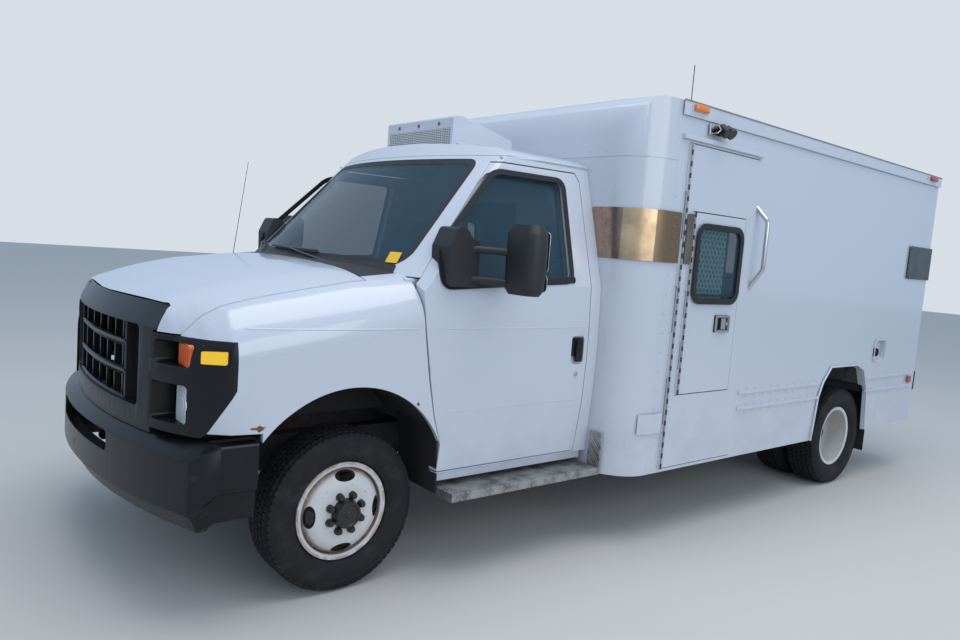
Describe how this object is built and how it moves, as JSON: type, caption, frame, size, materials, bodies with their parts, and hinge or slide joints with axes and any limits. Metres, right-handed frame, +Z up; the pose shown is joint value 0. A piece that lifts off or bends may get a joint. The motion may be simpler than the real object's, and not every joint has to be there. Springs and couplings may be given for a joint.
{
  "type": "ambulance with a walled patient box on a cutaway van cab",
  "caption": "White box ambulance on a van cab: steered front wheels, twin rear wheels, hinged hood, cab doors, side doors with a hatch and rear doors.",
  "frame": {"origin": "on the ground, at the middle of the vehicle's length and width", "axes": "+X forward, +Y to the vehicle's left, +Z up"},
  "size_m": [6.198, 2.634, 2.667],
  "materials": {
    "white_paint": "gloss white paint",
    "wheel_paint": "white paint over steel, rust at the edges",
    "frame_paint": "black chassis paint with road dirt",
    "cast_metal": "bare cast metal",
    "black_plastic": "grained black plastic",
    "grey_plastic": "satin dark grey plastic",
    "lens": "clear, amber and red lenses",
    "tread_rubber": "black tyre rubber",
    "flap_rubber": "black sheet rubber",
    "window_glass": "tinted safety glass",
    "plate_metal": "bare tread plate and bright trim",
    "seat_cloth": "grey woven cloth"
  },
  "bodies": {
    "chassis": {"frame": "frame_paint", "engine": "cast_metal", "radiator": "frame_paint", "front_axle": "frame_paint", "rear_axle": "frame_paint", "propeller_shaft": "frame_paint", "fuel_tank": "black_plastic", "exhaust": "cast_metal", "cab_sides": "white_paint", "cab_roof": "white_paint", "windscreen": "window_glass", "cab_floor": "grey_plastic", "dashboard": "grey_plastic", "seats": "seat_cloth", "fenders": "white_paint", "arch_liners": "black_plastic", "cowl": "black_plastic", "grille": "grey_plastic", "headlamp_bezels": "black_plastic", "headlamps": "lens", "front_bumper": "grey_plastic", "running_boards": "plate_metal", "box_front": "white_paint", "box_sides": "white_paint", "box_roof": "white_paint", "box_rear": "white_paint", "box_floor": "plate_metal", "wheel_housings": "plate_metal", "step_wells": "plate_metal", "rear_bumper": "frame_paint", "roof_unit": "white_paint", "lamps": "lens", "side_trim": "plate_metal", "mud_flaps": "flap_rubber", "antennas": "black_plastic"},
    "knuckle_left": {"knuckle_left": "cast_metal"},
    "wheel_front_left": {"tyre_front_left": "tread_rubber", "rim_front_left": "wheel_paint"},
    "wheels_rear_left": {"tyres_rear_left": "tread_rubber", "rims_rear_left": "wheel_paint"},
    "cab_door_left": {"door_left": "white_paint", "door_glass_left": "window_glass", "door_handle_left": "black_plastic", "mirror_left": "black_plastic"},
    "side_door_left": {"side_door_left": "white_paint"},
    "rear_door_left": {"rear_door_left": "white_paint"},
    "knuckle_right": {"knuckle_right": "cast_metal"},
    "wheel_front_right": {"tyre_front_right": "tread_rubber", "rim_front_right": "wheel_paint"},
    "wheels_rear_right": {"tyres_rear_right": "tread_rubber", "rims_rear_right": "wheel_paint"},
    "cab_door_right": {"door_right": "white_paint", "door_glass_right": "window_glass", "door_handle_right": "black_plastic", "mirror_right": "black_plastic"},
    "side_door_right": {"side_door_right": "white_paint"},
    "rear_door_right": {"rear_door_right": "white_paint"},
    "hood": {"hood": "white_paint"},
    "side_hatch": {"side_hatch": "white_paint"}
  },
  "joints": [
    {"name": "steer_left", "type": "hinge", "parent": "chassis", "child": "knuckle_left", "pos_m": [2.219, 0.775, 0.362], "axis": [0, 0, 1], "range_deg": [-32, 32]},
    {"name": "spin_front_left", "type": "hinge", "parent": "knuckle_left", "child": "wheel_front_left", "pos_m": [2.219, 0.802, 0.362], "axis": [0, 1, 0], "continuous": true},
    {"name": "spin_rear_left", "type": "hinge", "parent": "chassis", "child": "wheels_rear_left", "pos_m": [-1.794, 0.952, 0.362], "axis": [0, 1, 0], "continuous": true},
    {"name": "open_cab_door_left", "type": "hinge", "parent": "chassis", "child": "cab_door_left", "pos_m": [1.949, 1.01, 1], "axis": [0, 0, -1], "range_deg": [0, 68]},
    {"name": "open_side_door_left", "type": "hinge", "parent": "chassis", "child": "side_door_left", "pos_m": [0.422, 1.232, 1.3], "axis": [0, 0, -1], "range_deg": [0, 90]},
    {"name": "open_rear_door_left", "type": "hinge", "parent": "chassis", "child": "rear_door_left", "pos_m": [-3.01, 1.063, 1.5], "axis": [0, 0, -1], "range_deg": [0, 120]},
    {"name": "steer_right", "type": "hinge", "parent": "chassis", "child": "knuckle_right", "pos_m": [2.219, -0.775, 0.362], "axis": [0, 0, 1], "range_deg": [-32, 32]},
    {"name": "spin_front_right", "type": "hinge", "parent": "knuckle_right", "child": "wheel_front_right", "pos_m": [2.219, -0.802, 0.362], "axis": [0, 1, 0], "continuous": true},
    {"name": "spin_rear_right", "type": "hinge", "parent": "chassis", "child": "wheels_rear_right", "pos_m": [-1.794, -0.952, 0.362], "axis": [0, 1, 0], "continuous": true},
    {"name": "open_cab_door_right", "type": "hinge", "parent": "chassis", "child": "cab_door_right", "pos_m": [1.949, -1.01, 1], "axis": [0, 0, 1], "range_deg": [0, 68]},
    {"name": "open_side_door_right", "type": "hinge", "parent": "chassis", "child": "side_door_right", "pos_m": [0.422, -1.232, 1.3], "axis": [0, 0, 1], "range_deg": [0, 90]},
    {"name": "open_rear_door_right", "type": "hinge", "parent": "chassis", "child": "rear_door_right", "pos_m": [-3.01, -1.063, 1.5], "axis": [0, 0, 1], "range_deg": [0, 120]},
    {"name": "open_hood", "type": "hinge", "parent": "chassis", "child": "hood", "pos_m": [2.159, 0, 1.445], "axis": [0, -1, 0], "range_deg": [0, 50]},
    {"name": "open_side_hatch", "type": "hinge", "parent": "side_door_left", "child": "side_hatch", "pos_m": [0.337, 1.234, 1.3], "axis": [0, 0, -1], "range_deg": [0, 90]}
  ],
  "couplings": [
    {"joint": "steer_right", "follows": "steer_left", "ratio": 1}
  ]
}
